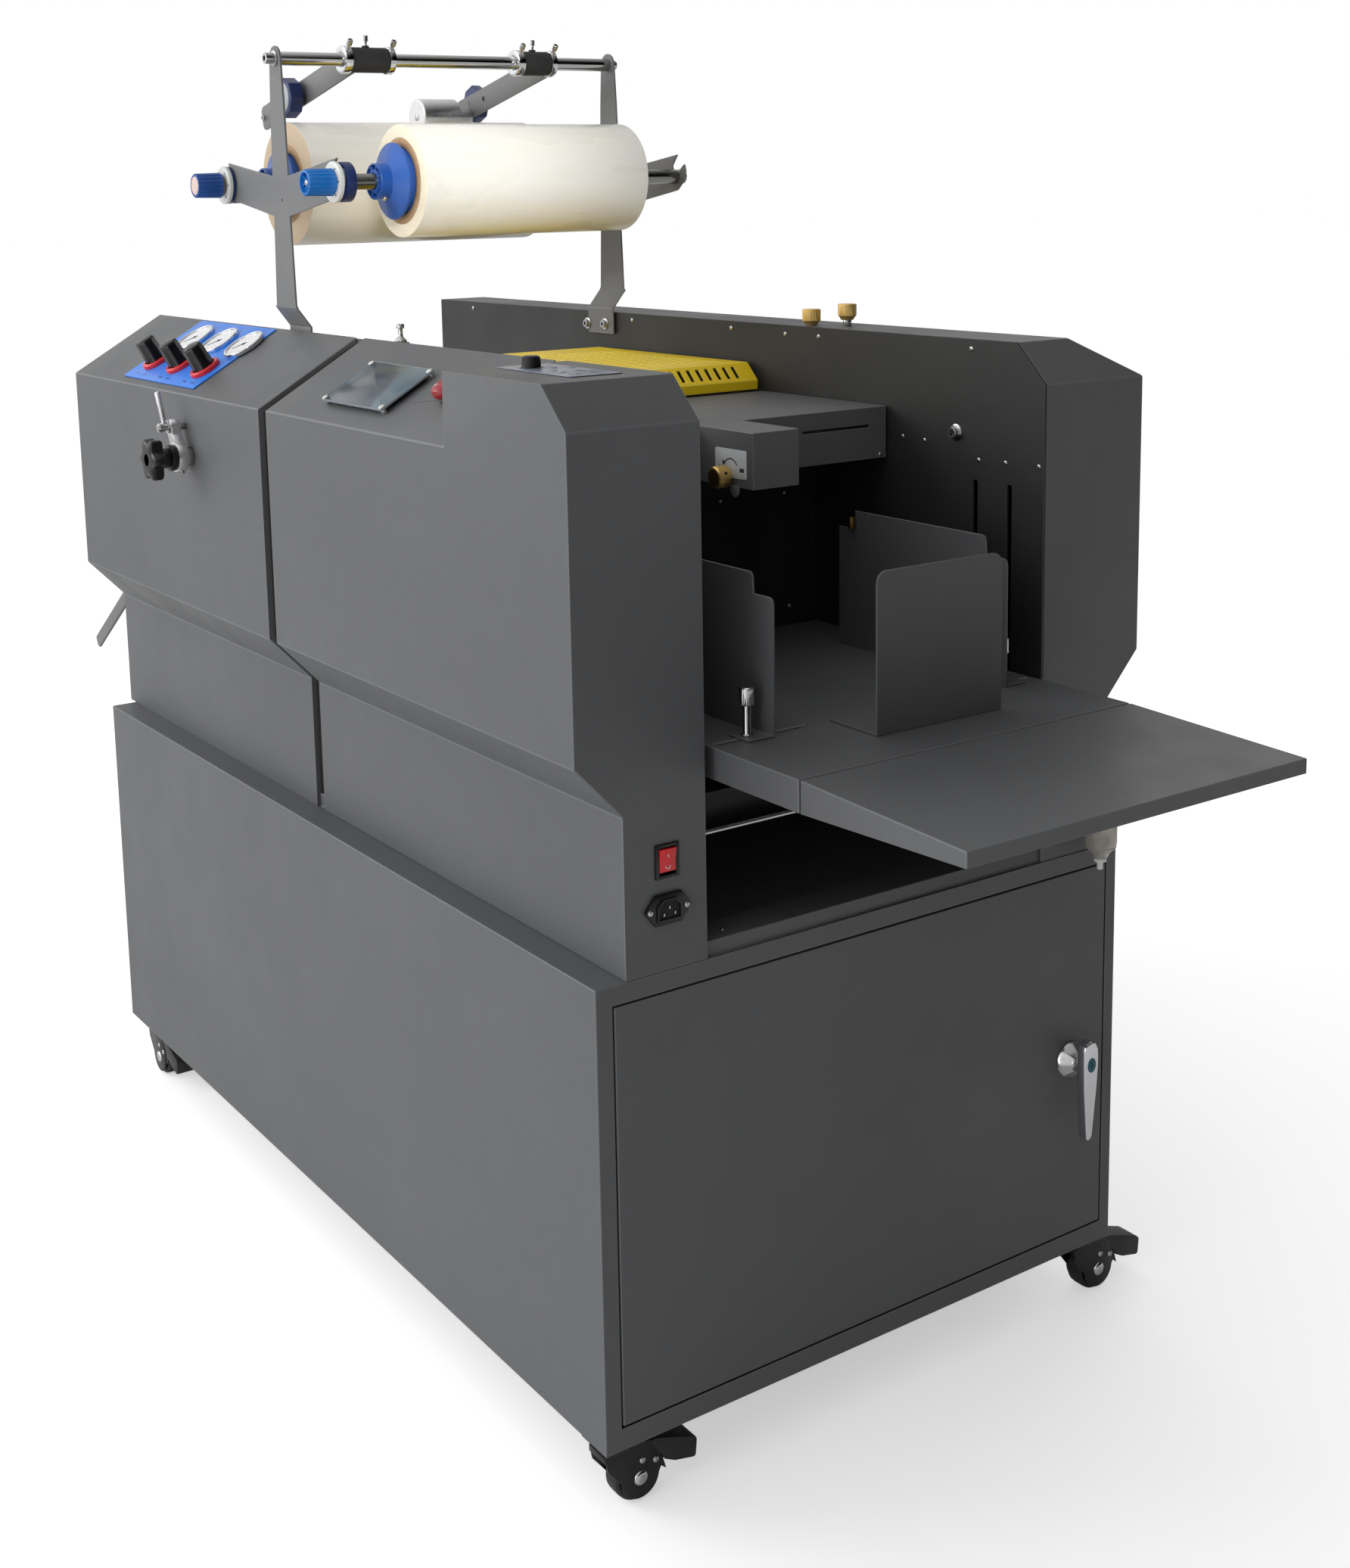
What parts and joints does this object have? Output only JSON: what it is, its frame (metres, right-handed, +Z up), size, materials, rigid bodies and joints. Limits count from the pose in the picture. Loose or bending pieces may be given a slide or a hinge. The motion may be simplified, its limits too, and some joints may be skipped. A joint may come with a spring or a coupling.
{
  "type": "cold roll laminator",
  "caption": "Cold roll laminator on a caster cabinet, with a film rack above and a sheet feeding bench at one end.",
  "frame": {"origin": "on the floor, at the centre of the machine's overall footprint", "axes": "+X towards the sheet feeding end with its folding table, -Y towards the operator's side with the controls, +Z up"},
  "size_m": [1.7248, 0.796, 1.406],
  "materials": {
    "charcoal_paint": "satin",
    "black_paint": "satin",
    "grey_paint": "satin",
    "yellow_paint": "satin",
    "chrome": "polished",
    "polished_steel": "polished",
    "roller_steel": "satin",
    "roller_rubber": "matte",
    "caster_black": "satin",
    "caster_tread": "matte",
    "black_plastic": "satin",
    "blue_panel": "satin",
    "blue_plastic": "satin",
    "red_plastic": "gloss",
    "brass": "polished",
    "screen_glass": "polished",
    "pale_label": "satin",
    "film": "satin",
    "clear_bowl": "gloss"
  },
  "bodies": {
    "cabinet": {"base_cabinet": "charcoal_paint", "operator_frame": "charcoal_paint", "rear_frame": "black_paint", "tail_cover": "charcoal_paint", "operator_cover": "charcoal_paint", "rear_cover": "charcoal_paint", "feeder_wall": "black_paint", "feed_head": "charcoal_paint", "regulator_panel": "blue_panel", "touch_screen": "screen_glass", "keypad": "pale_label", "mains_inlet": "black_plastic", "rack_plate_front": "grey_paint", "rack_plate_rear": "grey_paint", "rack_bar": "polished_steel", "drive_motor": "roller_steel", "filter_bowl": "clear_bowl"},
    "door": {"cabinet_door": "charcoal_paint"},
    "door_handle": {"door_lever": "chrome"},
    "guard": {"film_guard": "yellow_paint"},
    "feed_knob": {"head_knob": "brass"},
    "regulator_a": {"regulator_knob_1": "black_plastic"},
    "regulator_b": {"regulator_knob_2": "black_plastic"},
    "regulator_c": {"regulator_knob_3": "black_plastic"},
    "emergency_button": {"stop_button": "red_plastic"},
    "speed_dial": {"speed_knob": "black_plastic"},
    "rocker": {"rocker_switch": "red_plastic"},
    "link": {"clamp_link": "chrome"},
    "clamp_knob": {"star_knob": "black_plastic"},
    "pressure_lever": {"tail_lever": "grey_paint"},
    "latch_a": {"latch_knob_1": "brass"},
    "latch_b": {"latch_knob_2": "brass"},
    "front_arm": {"trim_arm_front": "grey_paint"},
    "front_arm_wheel": {"trim_wheel_front": "blue_plastic"},
    "rear_arm": {"trim_arm_rear": "grey_paint"},
    "rear_arm_wheel": {"trim_wheel_rear": "blue_plastic"},
    "weight": {"weight_roller": "chrome"},
    "front_spindle": {"film_spindle_front": "polished_steel", "film_roll_front": "film"},
    "rear_spindle": {"film_spindle_rear": "polished_steel", "film_roll_rear": "film"},
    "front_knob": {"film_knob_front": "blue_plastic"},
    "rear_knob": {"film_knob_rear": "blue_plastic"},
    "bench": {"feed_bench": "charcoal_paint"},
    "leaf": {"extension_table": "charcoal_paint"},
    "guide_near": {"near_guide": "charcoal_paint"},
    "guide_far": {"far_guide": "charcoal_paint"},
    "stop": {"front_stop": "charcoal_paint"},
    "screw_near": {"near_thumbscrew": "chrome"},
    "screw_far": {"far_thumbscrew": "chrome"},
    "roller_top": {"laminating_roller": "roller_steel"},
    "roller_low": {"pressure_roller": "roller_rubber"},
    "swivel_feeder_near": {"caster_fork_feeder_near": "caster_black"},
    "wheel_feeder_near": {"caster_wheel_feeder_near": "caster_tread"},
    "swivel_feeder_far": {"caster_fork_feeder_far": "caster_black"},
    "wheel_feeder_far": {"caster_wheel_feeder_far": "caster_tread"},
    "swivel_tail_near": {"caster_fork_tail_near": "caster_black"},
    "wheel_tail_near": {"caster_wheel_tail_near": "caster_tread"},
    "swivel_tail_far": {"caster_fork_tail_far": "caster_black"},
    "wheel_tail_far": {"caster_wheel_tail_far": "caster_tread"}
  },
  "joints": [
    {"name": "door_hinge", "type": "hinge", "parent": "cabinet", "child": "door", "pos_m": [0.53738, -0.307, 0.296], "axis": [0, 0, -1], "range_deg": [0, 110]},
    {"name": "door_handle_turn", "type": "hinge", "parent": "door", "child": "door_handle", "pos_m": [0.53768, 0.27, 0.293], "axis": [-1, 0, 0], "range_deg": [0, 90]},
    {"name": "swivel_turn_feeder_near", "type": "hinge", "parent": "cabinet", "child": "swivel_feeder_near", "pos_m": [0.51338, -0.303, 0.06], "axis": [0, 0, 1], "continuous": true},
    {"name": "wheel_spin_feeder_near", "type": "hinge", "parent": "swivel_feeder_near", "child": "wheel_feeder_near", "pos_m": [0.51338, -0.283, 0.025], "axis": [1, 0, 0], "continuous": true},
    {"name": "swivel_turn_feeder_far", "type": "hinge", "parent": "cabinet", "child": "swivel_feeder_far", "pos_m": [0.51338, 0.312, 0.06], "axis": [0, 0, 1], "continuous": true},
    {"name": "wheel_spin_feeder_far", "type": "hinge", "parent": "swivel_feeder_far", "child": "wheel_feeder_far", "pos_m": [0.51338, 0.332, 0.025], "axis": [1, 0, 0], "continuous": true},
    {"name": "swivel_turn_tail_near", "type": "hinge", "parent": "cabinet", "child": "swivel_tail_near", "pos_m": [-0.64862, -0.301, 0.06], "axis": [0, 0, 1], "continuous": true},
    {"name": "wheel_spin_tail_near", "type": "hinge", "parent": "swivel_tail_near", "child": "wheel_tail_near", "pos_m": [-0.62862, -0.301, 0.025], "axis": [0, 1, 0], "continuous": true},
    {"name": "swivel_turn_tail_far", "type": "hinge", "parent": "cabinet", "child": "swivel_tail_far", "pos_m": [-0.64862, 0.31, 0.06], "axis": [0, 0, 1], "continuous": true},
    {"name": "wheel_spin_tail_far", "type": "hinge", "parent": "swivel_tail_far", "child": "wheel_tail_far", "pos_m": [-0.64862, 0.33, 0.025], "axis": [1, 0, 0], "continuous": true},
    {"name": "guard_hinge", "type": "hinge", "parent": "cabinet", "child": "guard", "pos_m": [-0.09462, 0.214, 1.005], "axis": [-1, 0, 0], "range_deg": [0, 20]},
    {"name": "feed_knob_turn", "type": "hinge", "parent": "cabinet", "child": "feed_knob", "pos_m": [0.35438, -0.047, 0.932], "axis": [0, 1, 0], "range_deg": [-150, 150]},
    {"name": "regulator_turn_a", "type": "hinge", "parent": "cabinet", "child": "regulator_a", "pos_m": [-0.50762, -0.30747, 1.01835], "axis": [0, -0.5047, 0.8633], "range_deg": [-150, 150]},
    {"name": "regulator_turn_b", "type": "hinge", "parent": "cabinet", "child": "regulator_b", "pos_m": [-0.42762, -0.30747, 1.01835], "axis": [0, -0.5047, 0.8633], "range_deg": [-150, 150]},
    {"name": "regulator_turn_c", "type": "hinge", "parent": "cabinet", "child": "regulator_c", "pos_m": [-0.34762, -0.30747, 1.01835], "axis": [0, -0.5047, 0.8633], "range_deg": [-150, 150]},
    {"name": "emergency_button_press", "type": "slide", "parent": "cabinet", "child": "emergency_button", "axis": [0, 0.5047, -0.8633], "range_m": [0, 0.004]},
    {"name": "speed_dial_turn", "type": "hinge", "parent": "cabinet", "child": "speed_dial", "pos_m": [0.37038, -0.274, 1.06], "axis": [0, 0, 1], "range_deg": [-150, 150]},
    {"name": "rocker_rock", "type": "hinge", "parent": "cabinet", "child": "rocker", "pos_m": [0.53538, -0.248, 0.625], "axis": [0, -1, 0], "range_deg": [0, 14]},
    {"name": "link_swing", "type": "hinge", "parent": "cabinet", "child": "link", "pos_m": [-0.32462, -0.352, 0.948], "axis": [0, 1, 0], "range_deg": [-10, 10]},
    {"name": "clamp_knob_turn", "type": "hinge", "parent": "link", "child": "clamp_knob", "pos_m": [-0.31062, -0.367, 0.913], "axis": [0, 1, 0], "continuous": true},
    {"name": "pressure_lever_swing", "type": "hinge", "parent": "cabinet", "child": "pressure_lever", "pos_m": [-0.66862, -0.287, 0.705], "axis": [0, 1, 0], "range_deg": [-12, 12]},
    {"name": "latch_turn_a", "type": "hinge", "parent": "cabinet", "child": "latch_a", "pos_m": [0.15138, 0.236, 1.065], "axis": [0, 0, 1], "continuous": true},
    {"name": "latch_turn_b", "type": "hinge", "parent": "cabinet", "child": "latch_b", "pos_m": [0.19138, 0.256, 1.07], "axis": [0, 0, 1], "continuous": true},
    {"name": "front_arm_lift", "type": "hinge", "parent": "cabinet", "child": "front_arm", "pos_m": [-0.26462, -0.108, 1.377], "axis": [0, 1, 0], "range_deg": [0, 60]},
    {"name": "front_arm_wheel_spin", "type": "hinge", "parent": "front_arm", "child": "front_arm_wheel", "pos_m": [-0.41462, -0.14, 1.339], "axis": [0, 1, 0], "continuous": true},
    {"name": "rear_arm_lift", "type": "hinge", "parent": "cabinet", "child": "rear_arm", "pos_m": [-0.26462, 0.124, 1.377], "axis": [0, 1, 0], "range_deg": [0, 60]},
    {"name": "rear_arm_wheel_spin", "type": "hinge", "parent": "rear_arm", "child": "rear_arm_wheel", "pos_m": [-0.46862, 0.153, 1.336], "axis": [0, 1, 0], "continuous": true},
    {"name": "weight_spin", "type": "hinge", "parent": "rear_arm", "child": "weight", "pos_m": [-0.47062, 0.093, 1.318], "axis": [0, 1, 0], "continuous": true},
    {"name": "front_film_spin", "type": "hinge", "parent": "cabinet", "child": "front_spindle", "pos_m": [-0.11262, 0.003, 1.232], "axis": [0, 1, 0], "continuous": true},
    {"name": "rear_film_spin", "type": "hinge", "parent": "cabinet", "child": "rear_spindle", "pos_m": [-0.41662, 0.003, 1.232], "axis": [0, 1, 0], "continuous": true},
    {"name": "front_knob_turn", "type": "hinge", "parent": "front_spindle", "child": "front_knob", "pos_m": [-0.11262, -0.252, 1.232], "axis": [0, 1, 0], "continuous": true},
    {"name": "rear_knob_turn", "type": "hinge", "parent": "rear_spindle", "child": "rear_knob", "pos_m": [-0.41662, -0.26, 1.232], "axis": [0, 1, 0], "continuous": true},
    {"name": "bench_lift", "type": "slide", "parent": "cabinet", "child": "bench", "axis": [0, 0, 1], "range_m": [0, 0.07]},
    {"name": "leaf_fold", "type": "hinge", "parent": "bench", "child": "leaf", "pos_m": [0.65738, 0.013, 0.688], "axis": [0, 1, 0], "range_deg": [0, 90]},
    {"name": "near_guide_slide", "type": "slide", "parent": "bench", "child": "guide_near", "axis": [0, 1, 0], "range_m": [-0.034, 0.067]},
    {"name": "far_guide_slide", "type": "slide", "parent": "bench", "child": "guide_far", "axis": [0, 1, 0], "range_m": [-0.058, 0.022]},
    {"name": "stop_slide", "type": "slide", "parent": "bench", "child": "stop", "axis": [1, 0, 0], "range_m": [-0.022, 0.022]},
    {"name": "near_screw_turn", "type": "hinge", "parent": "guide_near", "child": "screw_near", "pos_m": [0.52538, -0.147, 0.74], "axis": [0, 0, 1], "continuous": true},
    {"name": "far_screw_turn", "type": "hinge", "parent": "guide_far", "child": "screw_far", "pos_m": [0.52538, 0.176, 0.74], "axis": [0, 0, 1], "continuous": true},
    {"name": "laminating_roller_spin", "type": "hinge", "parent": "cabinet", "child": "roller_top", "pos_m": [-0.13862, 0.003, 0.9653], "axis": [0, 1, 0], "continuous": true},
    {"name": "pressure_roller_spin", "type": "hinge", "parent": "cabinet", "child": "roller_low", "pos_m": [-0.13862, 0.003, 0.8927], "axis": [0, 1, 0], "continuous": true}
  ],
  "couplings": [
    {"joint": "pressure_roller_spin", "follows": "laminating_roller_spin", "ratio": -1}
  ]
}
